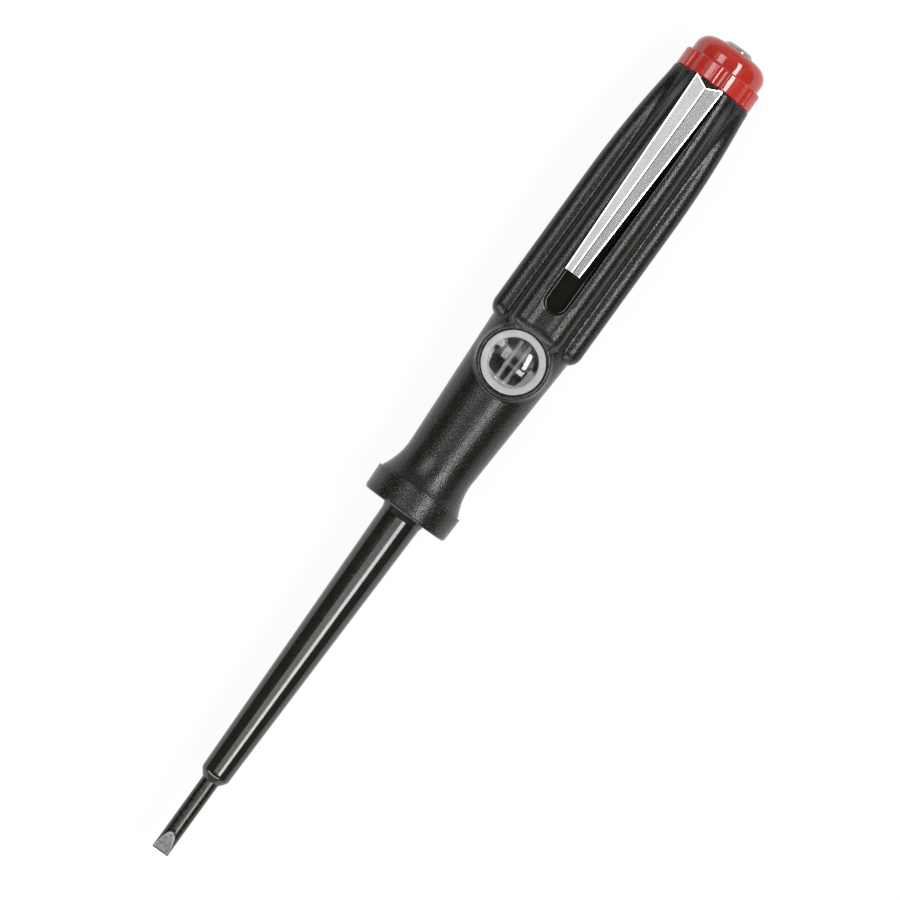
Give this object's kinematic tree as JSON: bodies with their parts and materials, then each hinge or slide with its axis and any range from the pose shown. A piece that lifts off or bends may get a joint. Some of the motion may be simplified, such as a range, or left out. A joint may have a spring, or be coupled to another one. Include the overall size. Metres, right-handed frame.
{
  "type": "voltage tester screwdriver",
  "caption": "Slim screwdriver with an insulated blade, a ribbed grip with lamp window and pocket clip, and a screw cap with a touch contact.",
  "frame": {"origin": "on the tool's axis, in the front face of the collar", "axes": "+X along the blade towards its tip, +Z out of the window and clip side"},
  "size_m": [0.1601, 0.017, 0.0187],
  "materials": {
    "handle_plastic": "fine spark texture",
    "sleeve_plastic": "gloss",
    "blade_steel": "blackened, bright ground flats",
    "clip_steel": "satin nickel",
    "ring_plastic": "satin",
    "lens_plastic": "clear",
    "lamp_glass": "clear",
    "bead_glass": "fused",
    "electrode_metal": "drawn wire",
    "contact_brass": "stamped",
    "resistor_ceramic": "lacquered",
    "spring_steel": "drawn wire",
    "cap_plastic": "gloss",
    "button_chrome": "polished"
  },
  "bodies": {
    "handle": {"handle": "handle_plastic", "blade": "blade_steel", "blade_sleeve": "sleeve_plastic", "lens_ring": "ring_plastic", "window_lens": "lens_plastic", "lamp_glass": "lamp_glass", "lamp_electrodes": "electrode_metal", "lamp_bead": "bead_glass", "lamp_front_cap": "contact_brass", "lamp_rear_cap": "contact_brass", "resistor_body": "resistor_ceramic", "resistor_front_cap": "electrode_metal", "resistor_rear_cap": "electrode_metal", "front_spring": "spring_steel", "contact_spring": "spring_steel"},
    "contact": {"contact_plate": "contact_brass"},
    "cap": {"end_cap": "cap_plastic", "contact_button": "button_chrome", "rivet_washer": "electrode_metal"},
    "clip": {"pocket_clip": "clip_steel"}
  },
  "joints": [
    {"name": "cap_lift", "type": "slide", "parent": "handle", "child": "contact", "axis": [-1, 0, 0], "range_m": [0, 0.0045], "deforming": ["contact_spring"]},
    {"name": "cap_turn", "type": "hinge", "parent": "contact", "child": "cap", "pos_m": [-0.0848, 0, 0], "axis": [-1, 0, 0], "range_deg": [0, 1081]},
    {"name": "clip_flex", "type": "hinge", "parent": "handle", "child": "clip", "pos_m": [-0.08385, 0, 0.00838], "axis": [0, -1, 0], "range_deg": [0, 5], "stiffness_Nm_per_rad": 2.2}
  ],
  "couplings": [
    {"joint": "cap_turn", "follows": "cap_lift", "rad_per_m": 4188.8}
  ]
}
